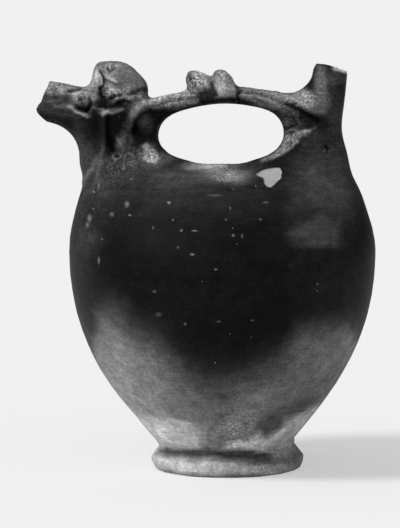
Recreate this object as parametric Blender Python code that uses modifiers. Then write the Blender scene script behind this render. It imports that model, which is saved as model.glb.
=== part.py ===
"""Askos: a hand-made pouring jug of dark fired clay, in one piece.

A thrown, bag-shaped body on a low foot carries two necks. The one at +X is a narrow filling neck. The one
at -X bends into a spout with an animal's head above it, and the spout's end is broken off. A strap handle
with a small worn figure on its back bridges the saddle between them. The whole vessel is hollow, and its
walls are one piece of clay.

Units are metres, +Z is up, and -Y is the side that is seen. The form is worked out from the body's axis.
The finished vessel is then moved so that the origin lies under the middle of its length.
"""

import math

import bmesh
import bpy
import numpy as np
from mathutils import Matrix, Vector

MM = 0.001

# Body, thrown on a wheel
BODY_RADIUS = 90.7 * MM
BELLY_HEIGHT = 133.0 * MM
BELLY_TAPER_DEPTH = 147.5 * MM  # below the belly, where the lower curve would close to a point
BELLY_TAPER_POWER = 2.3
SADDLE_HEIGHT = 181.0 * MM
PINCH_HEIGHT = 104.0 * MM  # from which the body is pinched in from both sides
PINCH_POWER = 2.6  # how full the pinched shoulder is, seen from its end
RIDGE_POWER = 0.62  # how broad its ridge is
SHOULDER_DRAW = 0.175  # how far the shoulder's ends draw in, seen from its side
WALL = 5.5 * MM
FLOOR = 8.0 * MM

# Foot, thrown with the body and set a little off its axis
FOOT_OFFSET = 3.0 * MM
LEAN_HEIGHT = 60.0 * MM  # up to which the body leans over to meet its foot
SHOULDER_LEAN = 1.1 * MM  # of the shoulder towards the spout
FOOT_HEIGHT = 15.5 * MM
FOOT_WAIST_RADIUS = 39.5 * MM
FOOT_RADIUS = 45.0 * MM
FOOT_FLANGE_HEIGHT = 6.8 * MM
FOOT_REST_RADIUS = 41.5 * MM
FOOT_RIM_WIDTH = 7.5 * MM
FOOT_RECESS = 3.2 * MM

# Necks: both widen downwards into the shoulder
NECK_ROOT_DEPTH = 19.0 * MM  # below the saddle
NECK_ROOT_RADIUS = 33.5 * MM
NECK_FLARE_RADIUS = 19.2 * MM
NECK_WALL = 3.2 * MM

# Filling neck, at +X
FILL_ROOT_INSET = 8.5 * MM  # from the belly's side to the root's outer side
FILL_INSET = 20.0 * MM  # from the belly's side to the throat's outer side
FILL_THROAT_RADIUS = 13.6 * MM
FILL_THROAT_RISE = 20.0 * MM  # above the saddle
FILL_COLLAR_RISE = 43.0 * MM
FILL_COLLAR_RADIUS = 12.0 * MM
FILL_MOUTH_RISE = 57.3 * MM
FILL_MOUTH_RADIUS = 8.9 * MM
FILL_LEAN = 8.6 * MM  # of the mouth out from the throat's axis
FILL_MOUTH_TILT = math.radians(16.5)
LIP_WALL = 2.0 * MM  # at the mouth

# Spout neck, at -X, and its broken tube
SPOUT_ROOT_INSET = 5.0 * MM  # from the belly's side to the root's outer side
SPOUT_INSET = 4.5 * MM  # from the belly's side to the throat's outer side
SPOUT_THROAT_RADIUS = 14.0 * MM
SPOUT_THROAT_RISE = 15.0 * MM
SPOUT_THROAT_WALL = 5.5 * MM  # thicker, for the slot pressed in between it and the strap
SPOUT_LEAN = 10.3 * MM  # of the bend out from the throat's axis
SPOUT_BEND_RISE = 31.0 * MM
SPOUT_BEND_RADIUS = 13.6 * MM
SPOUT_LENGTH = 27.1 * MM  # from the bend to the broken tip
SPOUT_END_RISE = 38.0 * MM
SPOUT_END_RADIUS = 12.0 * MM
BREAK_TIP_RISE = 33.0 * MM

# Strap handle
HANDLE_GAP = 35.5 * MM  # from the saddle up to the handle's underside
HANDLE_THICKNESS = 10.6 * MM
HANDLE_WIDTH = 24.0 * MM
HANDLE_ROOT_WIDTH = 27.0 * MM
HANDLE_LEFT_ROOT = 20.2 * MM  # from the spout neck's throat to the gap
HANDLE_RIGHT_ROOT = 8.5 * MM  # from the gap to the filling neck's throat
HANDLE_LIP_RADIUS = 2.6 * MM

# Height of the animal's head over the spout's bend, and of the worn figure on the handle
HEAD_HEIGHT = 30.0 * MM
FIGURE_HEIGHT = 17.5 * MM

# Clay work
VOXEL = 1.35 * MM
SHOULDER_FILLET = 10.5 * MM
JOINT_FILLET = 1.8 * MM
OUTSIDE_TRIANGLES = 7200
INSIDE_TRIANGLES = 1500
PLAIN_THINNING = 0.002

# Worked out from the sizes above
NECK_ROOT_HEIGHT = SADDLE_HEIGHT - NECK_ROOT_DEPTH
FILL_X = BODY_RADIUS - FILL_INSET - FILL_THROAT_RADIUS
SPOUT_X = -(BODY_RADIUS - SPOUT_INSET - SPOUT_THROAT_RADIUS)
BEND = Vector((SPOUT_X - SPOUT_LEAN, 0, SADDLE_HEIGHT + SPOUT_BEND_RISE))
BREAK_TIP = Vector((BEND.x - SPOUT_LENGTH, 0, SADDLE_HEIGHT + BREAK_TIP_RISE))
MOUTH = Vector((FILL_X + FILL_LEAN, 0, SADDLE_HEIGHT + FILL_MOUTH_RISE))
MOUTH_OUT = Vector((math.sin(FILL_MOUTH_TILT), 0, math.cos(FILL_MOUTH_TILT)))
GAP_LEFT = SPOUT_X + SPOUT_THROAT_RADIUS + HANDLE_LEFT_ROOT
GAP_RIGHT = FILL_X - FILL_THROAT_RADIUS - HANDLE_RIGHT_ROOT
GAP_MIDDLE = (GAP_LEFT + GAP_RIGHT) / 2
GAP_TOP = SADDLE_HEIGHT + HANDLE_GAP


def clear_scene():
    for item in list(bpy.data.objects):
        bpy.data.objects.remove(item, do_unlink=True)


def new_collection(name):
    made = bpy.data.collections.new(name)
    bpy.context.scene.collection.children.link(made)
    return made


clear_scene()
PARTS = new_collection("askos")
TOOLS = new_collection("cutters")


def fired_clay():
    """Dark burnished clay, paler where the slip has worn."""
    material = bpy.data.materials.new("burnished_clay")
    material.use_nodes = True
    shader = material.node_tree.nodes["Principled BSDF"]
    shader.inputs["Base Color"].default_value = (0.030, 0.030, 0.030, 1.0)
    shader.inputs["Roughness"].default_value = 0.42
    shader.inputs["Metallic"].default_value = 0.0
    material.diffuse_color = (0.10, 0.10, 0.10, 1.0)
    return material


def keep(name, bm):
    """Stores a bmesh as a mesh object among the tools."""
    bmesh.ops.recalc_face_normals(bm, faces=bm.faces)
    mesh = bpy.data.meshes.new(name)
    bm.to_mesh(mesh)
    bm.free()
    made = bpy.data.objects.new(name, mesh)
    TOOLS.objects.link(made)
    made.hide_render = True
    made.display_type = "WIRE"
    return made


def settle(item):
    """Replaces an object's mesh with what its modifiers make of it."""
    graph = bpy.context.evaluated_depsgraph_get()
    mesh = bpy.data.meshes.new_from_object(item.evaluated_get(graph))
    item.modifiers.clear()
    item.data = mesh
    return item


def smooth_path(stations, count):
    """Points on a Catmull-Rom curve through the stations; each station is a tuple of numbers."""
    knots = np.array(stations, float)
    padded = np.vstack([2 * knots[0] - knots[1], knots, 2 * knots[-1] - knots[-2]])
    points = []
    for step in range(count + 1):
        place = step / count * (len(knots) - 1)
        i = min(int(place), len(knots) - 2)
        t = place - i
        a, b, c, d = padded[i:i + 4]
        bend = (2 * a - 5 * b + 4 * c - d) * t**2 + (3 * b - a - 3 * c + d) * t**3
        points.append(0.5 * (2 * b + (c - a) * t + bend))
    return np.array(points)


def roll(name, stations, count=16, sides=28):
    """A roll of clay along a path. Stations are (x, y, z, half thickness in XZ, half width along Y)."""
    path = smooth_path(stations, count)
    bm = bmesh.new()
    rings = []
    for i, (x, y, z, half_thick, half_wide) in enumerate(path):
        before, after = path[max(i - 1, 0)], path[min(i + 1, count)]
        along = Vector(after[:3] - before[:3]).normalized()
        across = along.cross(Vector((0, 1, 0))).normalized()
        side = across.cross(along)
        ring = []
        for k in range(sides):
            turn = 2 * math.pi * k / sides
            offset = across * half_thick * math.cos(turn) + side * half_wide * math.sin(turn)
            ring.append(bm.verts.new(Vector((x, y, z)) + offset))
        rings.append(ring)
    for lower, upper in zip(rings, rings[1:]):
        for k in range(sides):
            bm.faces.new((lower[k], lower[(k + 1) % sides], upper[(k + 1) % sides], upper[k]))
    bm.faces.new(rings[0])
    bm.faces.new(rings[-1])
    return keep(name, bm)


def pellet(name, centre, half_sizes, tilt=0.0, segments=28):
    """A ball of clay pressed to three half sizes, tilted in the XZ plane."""
    bm = bmesh.new()
    bmesh.ops.create_uvsphere(bm, u_segments=segments, v_segments=segments // 2, radius=1.0)
    place = Matrix.Translation(centre) @ Matrix.Rotation(tilt, 4, "Y") @ Matrix.Diagonal((*half_sizes, 1.0))
    bm.transform(place)
    return keep(name, bm)


def turned(name, profile, steps=72):
    """A thrown form: a half outline of (radius, height) pairs from its top to its bottom, spun about Z."""
    bm = bmesh.new()
    row = [bm.verts.new((radius, 0, height)) for radius, height in profile]
    for a, b in zip(row, row[1:]):
        bm.edges.new((a, b))
    made = keep(name, bm)
    spin = made.modifiers.new("spin", "SCREW")
    spin.steps = steps
    spin.render_steps = steps
    spin.use_merge_vertices = True
    spin.merge_threshold = 0.00005
    return settle(made)


def body_sections(wall, low):
    """Level sections of the body, less a wall, as (height, half length, half width), lowest first.

    They are round, as thrown, up to the pinch. Above it the clay is pinched from both sides into a ridge, the
    saddle, which stays nearly as long as the belly.
    """
    top = SADDLE_HEIGHT - wall
    rows = []
    for step in range(20):
        height = low + (BELLY_HEIGHT - low) * math.sin(math.pi / 2 * step / 20)
        drop = (BELLY_HEIGHT - height) / BELLY_TAPER_DEPTH
        slope = BODY_RADIUS * BELLY_TAPER_POWER * drop ** (BELLY_TAPER_POWER - 1) / BELLY_TAPER_DEPTH
        radius = BODY_RADIUS * (1 - drop**BELLY_TAPER_POWER) - wall * math.hypot(1, slope)
        rows.append((height, radius, radius * pinched(height, top)))
    for step in range(25):
        rise = math.sin(math.pi / 2 * step / 24.5)
        height = BELLY_HEIGHT + (top - BELLY_HEIGHT) * rise
        draw = SHOULDER_DRAW * rise**2 / (rise + 0.25)
        length = BODY_RADIUS * (1 - draw) * (1 - 0.2 * rise**10) - wall
        rows.append((height, length, (BODY_RADIUS - wall) * pinched(height, top)))
    return rows


def pinched(height, top):
    """The share of its width that the pinch leaves the body at a height."""
    rise = max(0, (height - PINCH_HEIGHT) / (top - PINCH_HEIGHT))
    return (1 - rise**PINCH_POWER) ** RIDGE_POWER


def lean(height):
    """The body's middle off its axis: towards the foot's low down, towards the spout at the shoulder."""
    to_foot = FOOT_OFFSET * max(0, 1 - height / LEAN_HEIGHT) ** 1.5
    rise = min(1, max(0, (height - BELLY_HEIGHT) / (SADDLE_HEIGHT - BELLY_HEIGHT)))
    return to_foot - SHOULDER_LEAN * math.sin(math.pi / 2 * rise)


def body_form(name, wall, low):
    rows = [(0, 0, height, length, width) for height, length, width in body_sections(wall, low)]
    made = roll(name, rows, len(rows) - 1, 72)
    for vert in made.data.vertices:
        vert.co.x += lean(vert.co.z)
    return made


def foot_curve():
    """The foot's half outline from inside its waist out over the flange and under to its axis."""
    points = [(0, FOOT_HEIGHT + FLOOR), (FOOT_WAIST_RADIUS - 2 * MM, FOOT_HEIGHT + 2 * MM)]
    points.append((FOOT_WAIST_RADIUS, FOOT_HEIGHT))
    slope_end = (FOOT_RADIUS - 1.2 * MM, FOOT_FLANGE_HEIGHT + 2.6 * MM)
    points.append(slope_end)
    for step in range(7):
        turn = math.pi / 2 * step / 6
        radius = FOOT_REST_RADIUS + (FOOT_RADIUS - FOOT_REST_RADIUS) * math.cos(turn)
        points.append((radius, FOOT_FLANGE_HEIGHT * (1 - math.sin(turn))))
    points.append((0, 0))
    return points


def moved(item, way):
    item.data.transform(Matrix.Translation(way))
    return item


def fill_neck(name, wall, lip, sides):
    """The filling neck, less a wall: root, flare, throat, collar and on past the mouth."""
    past = MOUTH + MOUTH_OUT * 6 * MM
    rows = [
        (BODY_RADIUS - FILL_ROOT_INSET - NECK_ROOT_RADIUS, NECK_ROOT_HEIGHT, NECK_ROOT_RADIUS - wall),
        (FILL_X, SADDLE_HEIGHT - 1 * MM, NECK_FLARE_RADIUS - wall),
        (FILL_X, SADDLE_HEIGHT + FILL_THROAT_RISE, FILL_THROAT_RADIUS - wall),
        (FILL_X + 0.47 * FILL_LEAN, SADDLE_HEIGHT + FILL_COLLAR_RISE, FILL_COLLAR_RADIUS - wall),
        (MOUTH.x, MOUTH.z, FILL_MOUTH_RADIUS - lip),
        (past.x, past.z, FILL_MOUTH_RADIUS - lip - 0.3 * MM),
    ]
    return roll(name, [(x, 0, z, radius, radius) for x, z, radius in rows], 24, sides)


def spout(name, throat_wall, wall, sides):
    """The spout neck, less its walls: root, flare, throat, bend, tube and on past the broken end."""
    end_z = SADDLE_HEIGHT + SPOUT_END_RISE
    rows = [
        (-(BODY_RADIUS - SPOUT_ROOT_INSET - NECK_ROOT_RADIUS), NECK_ROOT_HEIGHT, NECK_ROOT_RADIUS - wall),
        (SPOUT_X + 7 * MM, SADDLE_HEIGHT - 1 * MM, NECK_FLARE_RADIUS - throat_wall),
        (SPOUT_X, SADDLE_HEIGHT + SPOUT_THROAT_RISE, SPOUT_THROAT_RADIUS - throat_wall),
        (BEND.x, BEND.z, SPOUT_BEND_RADIUS - wall),
        (BREAK_TIP.x + 9.5 * MM, end_z - 1.5 * MM, SPOUT_END_RADIUS + 0.4 * MM - wall),
        (BREAK_TIP.x - 6 * MM, end_z + 1.5 * MM, SPOUT_END_RADIUS - wall),
    ]
    return roll(name, [(x, 0, z, radius, radius) for x, z, radius in rows], 28, sides)


def handle():
    """The strap handle, from its left root on the saddle over the gap to its right root.

    Rows are (x from the gap's end in mm, height in shares of the gap's height, half thickness, half width).
    """
    half = HANDLE_THICKNESS / 2
    wide = HANDLE_WIDTH / 2
    root = HANDLE_ROOT_WIDTH / 2
    left = [
        (-15.5, 0.0, 38 * MM, root + 4 * MM),
        (-15.5, 0.18, 20.5 * MM, root + 1 * MM),
        (-14.5, 0.44, 14.5 * MM, root),
        (-9.5, 0.76, 11.5 * MM, root),
        (6, 0.986, half + 0.9 * MM, wide),
    ]
    right = [
        (-8, 1.062, half + 0.5 * MM, wide),
        (7, 0.887, half + 2.6 * MM, root - 3 * MM),
        (11.5, 0.52, 10.5 * MM, root - 4 * MM),
        (11.5, 0.18, 14 * MM, root - 2 * MM),
        (10.5, -0.056, 30 * MM, root + 2 * MM),
    ]
    rows = []
    for end, path in ((GAP_LEFT, left), (GAP_RIGHT, right)):
        for x, z, thick, broad in path:
            rows.append((end + x * MM, 0, SADDLE_HEIGHT + z * HANDLE_GAP, thick, broad))
    rows.insert(len(left), (GAP_MIDDLE, 0, GAP_TOP + half, half, wide))
    return roll("handle", rows, 50, 28)


def handle_lips():
    """Raised edges where the strap's ends were pressed round the necks, on both sides.

    Rows are (x from the gap's end, y out from the strap's edge, z from its underside) in mm.
    """
    left = [(2, -1.5, -1), (-10, 0.2, -5), (-17, 1, -11), (-18, 0.6, -19), (-16, 1.6, -26)]
    right = [(-5, -2.4, 3), (8, -1.2, -0.5), (17, 0.2, -4.5), (25, -0.6, -8)]
    edge = HANDLE_WIDTH / 2
    thick = HANDLE_LIP_RADIUS
    made = []
    for name, end, path in (("left_lip", GAP_LEFT, left), ("right_lip", GAP_RIGHT, right)):
        for side in (-1, 1):
            rows = [(end + x * MM, side * (edge + y * MM), GAP_TOP + z * MM) for x, y, z in path]
            made.append(roll(name, [(*place, thick, thick) for place in rows], 12, 12))
    return made


def handle_folds():
    """Hollows left where the strap's ends were pressed on, on both sides.

    A deep slot parts the spout neck from the strap. A hollow lies inside the strap's left lip, and another
    under its right one. Rows are (x from the gap's end, y out from the middle, z above the saddle, half
    thickness, half width) in mm.
    """
    slot = [(-26, 18, 29, 3, 7), (-25.5, 17, 24, 5.5, 9), (-26, 17, 15, 5.5, 8.5), (-27, 20, 5, 3, 5.5)]
    left = [(4, 15, 33, 1.5, 4), (-3, 15, 28, 4, 6), (-8.5, 15.5, 21, 6.5, 7.5), (-8.5, 16.5, 12, 4.5, 6)]
    right = [(3, 14, 31, 2, 4), (11, 14, 26, 4, 5), (19, 15, 20.5, 3, 4)]
    made = []
    for name, end, path in (("slot", GAP_LEFT, slot), ("left_hollow", GAP_LEFT, left),
                            ("right_hollow", GAP_RIGHT, right)):
        for side in (-1, 1):
            rows = [(end + x * MM, side * y * MM, SADDLE_HEIGHT + z * MM, thick * MM, wide * MM)
                    for x, y, z, thick, wide in path]
            made.append(roll(name, rows, 12, 16))
    return made


def head_point(along, out, up):
    """A point on the head, in shares of its height: along the vessel, out from its middle plane and up."""
    return BEND + HEAD_HEIGHT * Vector((along, out, up))


def head_pellet(name, place, half_sizes, tilt=0.0):
    """A pellet on the head, placed and sized in shares of the head's height."""
    return pellet(name, head_point(*place), [HEAD_HEIGHT * half for half in half_sizes], tilt)


def head_roll(name, side, path):
    """A roll on the head. Its stations are (along, out, up, radius) in shares of the head's height."""
    rows = [(*head_point(along, side * out, up), thick * HEAD_HEIGHT, thick * HEAD_HEIGHT)
            for along, out, up, thick in path]
    return roll(name, rows, 12, 12)


def crest():
    """The fan-shaped crest: flat on top, straight in front and round behind, thinner towards its edge."""
    outline = [(0.12, 0.20), (0.215, 0.83), (0.30, 0.985)]
    for step in range(12):
        turn = math.radians(88 - 112 * step / 11)
        reach = 0.60 * (1 - 0.11 * math.sin(2 * turn) ** 2)
        outline.append((0.70 + reach * math.cos(turn), 0.41 + 0.97 * reach * math.sin(turn)))
    outline += [(1.05, 0.10), (0.60, -0.05)]
    bm = bmesh.new()
    face = bm.faces.new([bm.verts.new(head_point(along, 0, up)) for along, up in outline])
    grown = bmesh.ops.extrude_face_region(bm, geom=[face])
    far = [item for item in grown["geom"] if isinstance(item, bmesh.types.BMVert)]
    for vert in bm.verts:
        up = (vert.co.z - BEND.z) / HEAD_HEIGHT
        half = HEAD_HEIGHT * (0.36 - 0.20 * max(up, 0))
        vert.co.y = half if vert in far else -half
    return keep("crest", bm)


def head_masses():
    """The larger masses of the animal's head over the spout's bend: skull, nape, crest, cheeks and mane."""
    mane = [(0.50, 0.36, 0.20, 0.09), (0.74, 0.35, 0.27, 0.11), (0.96, 0.31, 0.25, 0.11),
            (1.17, 0.24, 0.31, 0.09)]
    ledge = [(-0.12, 0.43, 0.05, 0.07), (0.12, 0.42, -0.02, 0.09), (0.36, 0.39, 0.0, 0.09),
             (0.60, 0.36, 0.06, 0.09), (0.80, 0.30, 0.08, 0.07)]
    made = [
        head_pellet("skull", (0.34, 0, 0.16), (0.50, 0.42, 0.38)),
        head_pellet("nape", (0.92, 0, 0.14), (0.40, 0.34, 0.26)),
        crest(),
    ]
    for side in (-1, 1):
        made.append(head_pellet("cheek", (0.16, side * 0.31, 0.27), (0.28, 0.19, 0.22)))
        made.append(head_roll("mane", side, mane))
        made.append(head_roll("ledge", side, ledge))
    return made


def head_details():
    """What was pressed on the head last: eyes, ears, a lock of the mane and a curl under it."""
    lock = [(0.46, 0.24, 0.68, 0.04), (0.60, 0.27, 0.62, 0.065), (0.78, 0.27, 0.55, 0.04)]
    made = []
    for side in (-1, 1):
        made.append(head_pellet("eye", (-0.05, side * 0.44, 0.28), (0.145, 0.06, 0.145)))
        made.append(head_pellet("ear", (0.33, side * 0.25, 0.67), (0.08, 0.10, 0.18), 0.15))
        made.append(head_pellet("curl", (0.47, side * 0.35, 0.37), (0.08, 0.06, 0.05)))
        made.append(head_roll("lock", side, lock))
    return made


def head_grooves():
    """The groove behind each ear, which opens into a hollow between the cheek and the mane."""
    path = [(0.42, 0.27, 0.80, 0.035), (0.43, 0.28, 0.60, 0.05), (0.42, 0.38, 0.40, 0.05),
            (0.44, 0.46, 0.20, 0.13), (0.46, 0.46, 0.10, 0.08)]
    return [head_roll("groove", side, path) for side in (-1, 1)]


def eye_pits():
    size = [0.055 * HEAD_HEIGHT] * 3
    return [pellet("pit", head_point(-0.05, side * 0.50, 0.28), size, segments=12) for side in (-1, 1)]


def figure_point(along, out, up):
    """A point on the figure, in shares of its height, from the handle's underside at the gap's middle."""
    return Vector((GAP_MIDDLE, 0, GAP_TOP)) + FIGURE_HEIGHT * Vector((along, out, up))


def figure():
    """The worn figure: a collar round the strap, a round lump and a stub that leans away from it."""
    unit = FIGURE_HEIGHT
    middle = HANDLE_THICKNESS / 2 / unit
    collar = (0.62 * unit, HANDLE_WIDTH / 2 + 1.2 * MM, 0.33 * unit)
    lump = (0.37 * unit, 0.40 * unit, 0.47 * unit)
    stub = [(-0.22, -0.10, 0.52, 0.34, 0.36), (-0.62, -0.12, 0.74, 0.33, 0.36),
            (-1.12, -0.16, 0.98, 0.24, 0.27)]
    rows = [(*figure_point(along, out, up), thick * unit, wide * unit)
            for along, out, up, thick, wide in stub]
    return [
        pellet("collar", figure_point(0.17, 0, middle + 0.04), collar),
        pellet("lump", figure_point(0.10, -0.06, 0.74), lump),
        roll("stub", rows, 8, 20),
    ]


def figure_notch():
    """The notch between the figure's lump and its stub."""
    unit = FIGURE_HEIGHT
    return pellet("notch", figure_point(-0.2, 0, 0.90), (0.085 * unit, 0.6 * unit, 0.33 * unit), -0.73)


def joined(name, items):
    """One object with all the items' meshes, which may overlap."""
    bm = bmesh.new()
    for item in items:
        bm.from_mesh(item.data)
    for item in items:
        bpy.data.objects.remove(item, do_unlink=True)
    return keep(name, bm)


def fused(item, voxel):
    """Fuses overlapping lumps into one skin."""
    skin = item.modifiers.new("fuse", "REMESH")
    skin.mode = "VOXEL"
    skin.voxel_size = voxel
    return settle(item)


def swollen(item, distance):
    """Moves a skin outwards, or inwards where the distance is negative."""
    swell = item.modifiers.new("swell", "DISPLACE")
    swell.mid_level = 0.0
    swell.strength = distance
    return settle(item)


def filleted(item, radius, voxel):
    """Fills inner corners to a radius, as wet clay is smoothed into a joint, and leaves outer ones."""
    fused(swollen(fused(item, voxel), radius), voxel)
    return fused(swollen(item, -radius), voxel)


def softened(item, rounds):
    """Smooths a skin as a wet finger would."""
    soft = item.modifiers.new("soften", "SMOOTH")
    soft.factor = 0.5
    soft.iterations = rounds
    return settle(item)


def thinned(item, triangles):
    """Reduces a skin to about so many triangles, and keeps more of them above the shoulder than below."""
    mesh = item.data
    mesh.calc_loop_triangles()
    plain = item.vertex_groups.new(name="plain")
    for vert in mesh.vertices:
        share = 1.0 if vert.co.z < SADDLE_HEIGHT + NECK_ROOT_DEPTH / 2 else 0.5
        plain.add([vert.index], share, "REPLACE")
    thin = item.modifiers.new("thin", "DECIMATE")
    thin.ratio = min(1.0, triangles / len(mesh.loop_triangles))
    thin.vertex_group = plain.name
    thin.vertex_group_factor = PLAIN_THINNING
    thin.use_collapse_triangulate = True
    return settle(item)


def cut_flat(item, point, normal):
    """Cuts an object off flat at a plane and closes it; what lies along the normal goes."""
    bm = bmesh.new()
    bm.from_mesh(item.data)
    geometry = bm.verts[:] + bm.edges[:] + bm.faces[:]
    bmesh.ops.bisect_plane(bm, geom=geometry, plane_co=point, plane_no=normal, clear_outer=True, dist=0.00002)
    open_edges = [edge for edge in bm.edges if edge.is_boundary]
    bmesh.ops.contextual_create(bm, geom=open_edges)
    bmesh.ops.triangulate(bm, faces=[face for face in bm.faces if len(face.verts) > 4])
    bm.to_mesh(item.data)
    bm.free()
    return item


def cut(item, tool):
    """Takes a tool's volume away from an object."""
    boolean = item.modifiers.new("cut", "BOOLEAN")
    boolean.operation = "DIFFERENCE"
    boolean.solver = "EXACT"
    boolean.object = tool
    return settle(item)


def break_tool():
    """What broke off the spout: the upper wall broke short, and the lower one ends in a jutting tip."""
    reach = 30 * MM
    edge = [(9.0, 22.0), (4.0, 9.0), (3.0, 3.5), (0.0, 0.0), (0.8, -2.4), (3.2, -5.2), (7.0, -9.0),
            (9.5, -14.0)]
    outline = [BREAK_TIP + Vector((x * MM, -reach, z * MM)) for x, z in edge]
    outline += [outline[-1] - Vector((reach, 0, 0)), outline[0] - Vector((reach, 0, 0))]
    bm = bmesh.new()
    face = bm.faces.new([bm.verts.new(point) for point in outline])
    grown = bmesh.ops.extrude_face_region(bm, geom=[face])
    far = [item for item in grown["geom"] if isinstance(item, bmesh.types.BMVert)]
    bmesh.ops.translate(bm, verts=far, vec=(0, 2 * reach, 0))
    return keep("break", bm)


def foot_recess():
    """The shallow dish under the foot, inside its resting ring."""
    radius = FOOT_REST_RADIUS - FOOT_RIM_WIDTH
    profile = [(0, FOOT_RECESS), (radius * 0.55, FOOT_RECESS * 0.92), (radius * 0.86, FOOT_RECESS * 0.62)]
    profile += [(radius, 0), (radius + 1 * MM, -1 * MM), (0, -1 * MM)]
    return moved(turned("foot_recess", profile, 40), (FOOT_OFFSET, 0, 0))


def outside():
    """The vessel's outer form, solid."""
    sunk = 0.2 * MM  # sliced off under the foot, to leave it flat
    body = body_form("body", 0, FOOT_HEIGHT - 2 * MM)
    core = joined("core", [body, fill_neck("fill_neck", 0, 0, 36), spout("spout", 0, 0, 36), handle()])
    softened(filleted(core, SHOULDER_FILLET, VOXEL * 1.5), 6)
    foot = moved(turned("foot", foot_curve()), (FOOT_OFFSET, 0, 0))
    whole = joined("whole", [core, foot] + handle_lips() + head_masses() + figure())
    filleted(whole, JOINT_FILLET, VOXEL)
    for tool in handle_folds() + head_grooves() + [figure_notch()]:
        cut(whole, tool)
    whole = joined("whole", [whole] + head_details())
    softened(fused(whole, VOXEL), 1)
    thinned(whole, OUTSIDE_TRIANGLES)
    cut_flat(whole, (0, 0, sunk), (0, 0, -1))
    cut_flat(whole, MOUTH, MOUTH_OUT)
    return moved(whole, (0, 0, -sunk))


def inside():
    """The hollow: the body's inner form with a bore up each neck."""
    fill_bore = fill_neck("fill_bore", NECK_WALL, LIP_WALL, 24)
    spout_bore = spout("spout_bore", SPOUT_THROAT_WALL, NECK_WALL, 24)
    hollow = joined("hollow", [body_form("hollow_body", WALL, FOOT_RECESS + FLOOR), fill_bore, spout_bore])
    return thinned(softened(fused(hollow, VOXEL * 1.5), 3), INSIDE_TRIANGLES)


def askos():
    """The finished vessel, moved so that its origin lies under the middle of its length."""
    vessel = outside()
    for tool in [inside(), break_tool(), foot_recess()] + eye_pits():
        cut(vessel, tool)
    xs = [vert.co.x for vert in vessel.data.vertices]
    ys = [vert.co.y for vert in vessel.data.vertices]
    moved(vessel, (-(min(xs) + max(xs)) / 2, -(min(ys) + max(ys)) / 2, 0))
    vessel.name = "askos"
    TOOLS.objects.unlink(vessel)
    PARTS.objects.link(vessel)
    vessel.hide_render = False
    vessel.display_type = "TEXTURED"
    vessel.data.materials.clear()
    vessel.data.materials.append(fired_clay())
    vessel.data.shade_smooth()
    vessel.data.set_sharp_from_angle(angle=math.radians(40))


askos()
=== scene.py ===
import math

import bmesh
import bpy
import numpy as np
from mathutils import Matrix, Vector, noise


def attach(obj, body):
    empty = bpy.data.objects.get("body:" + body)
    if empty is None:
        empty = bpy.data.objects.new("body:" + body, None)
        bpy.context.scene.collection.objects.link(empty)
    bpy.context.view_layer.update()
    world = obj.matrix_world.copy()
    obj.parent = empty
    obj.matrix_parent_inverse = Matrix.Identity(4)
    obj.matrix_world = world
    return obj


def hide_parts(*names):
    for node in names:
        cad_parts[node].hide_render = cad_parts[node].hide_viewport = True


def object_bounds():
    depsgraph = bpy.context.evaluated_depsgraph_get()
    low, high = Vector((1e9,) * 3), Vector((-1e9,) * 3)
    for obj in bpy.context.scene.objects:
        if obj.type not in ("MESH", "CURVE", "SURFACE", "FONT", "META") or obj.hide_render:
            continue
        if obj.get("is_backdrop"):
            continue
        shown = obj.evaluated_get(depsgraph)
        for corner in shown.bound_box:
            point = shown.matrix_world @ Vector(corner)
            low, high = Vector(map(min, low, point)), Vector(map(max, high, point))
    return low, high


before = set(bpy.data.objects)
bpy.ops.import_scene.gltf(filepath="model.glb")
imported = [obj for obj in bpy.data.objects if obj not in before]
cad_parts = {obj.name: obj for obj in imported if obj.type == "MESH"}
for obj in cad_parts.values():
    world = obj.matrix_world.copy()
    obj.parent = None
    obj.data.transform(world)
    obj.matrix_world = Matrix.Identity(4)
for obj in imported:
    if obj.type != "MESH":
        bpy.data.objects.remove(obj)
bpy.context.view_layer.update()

# Standpoint
# The jug is looked at from almost its own height, 42 cm up and 2.8 m off, through a long lens.
# The standpoint comes first because the marks below are placed as they show from it.
MM = 0.001
STATION = Vector((-3.75, -2775, 420)) * MM
AIM = Vector((-3.75, 0, 121.5)) * MM
# In the camera's own millimetres
LENS = 322
FILM_WIDTH = 36

camera_data = bpy.data.cameras.new("camera")
camera_data.sensor_fit = "AUTO"
camera_data.sensor_width = FILM_WIDTH
camera_data.lens = LENS
camera = bpy.data.objects.new("camera", camera_data)
camera.location = STATION
camera.rotation_euler = (AIM - STATION).to_track_quat("-Z", "Y").to_euler()
bpy.context.scene.collection.objects.link(camera)
bpy.context.scene.camera = camera

# Clay body
# One piece of fired clay: a wheel-thrown bag on a low foot, with both necks, the handle, the head and the
# figure joined to it while wet. The plain form is taken over in grains under a millimetre. A wet cloth rubs
# out its flat faces as on the wheel, and rubs the small parts, which were finished by finger, far less.
GRAIN = 0.7 * MM
SADDLE = 178 * MM
FOOT_TOP = 30 * MM
BODY_AXIS_X = 9.55 * MM
# Where one kind of rubbing fades into the next: three pairs of heights, and a pair of places across the jug
FOOT_TO_BELLY = (FOOT_TOP - 4 * MM, FOOT_TOP + 8 * MM)
BELLY_ENDS = (SADDLE - 26 * MM, SADDLE - 4 * MM)
NECKS_BEGIN = (SADDLE - 30 * MM, SADDLE - 12 * MM)
HEAD_TO_HANDLE = (-35.7 * MM, -27.4 * MM)
BELLY_ROUNDS = 90
NECK_ROUNDS = 14
HEAD_SPARED = 0.6
FOOT_SHARE = 0.2
WEIGHT_STEPS = 16


def settled(item):
    """Replaces an object's mesh with what its modifiers make of it."""
    graph = bpy.context.evaluated_depsgraph_get()
    mesh = bpy.data.meshes.new_from_object(item.evaluated_get(graph))
    item.modifiers.clear()
    item.data = mesh


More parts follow.
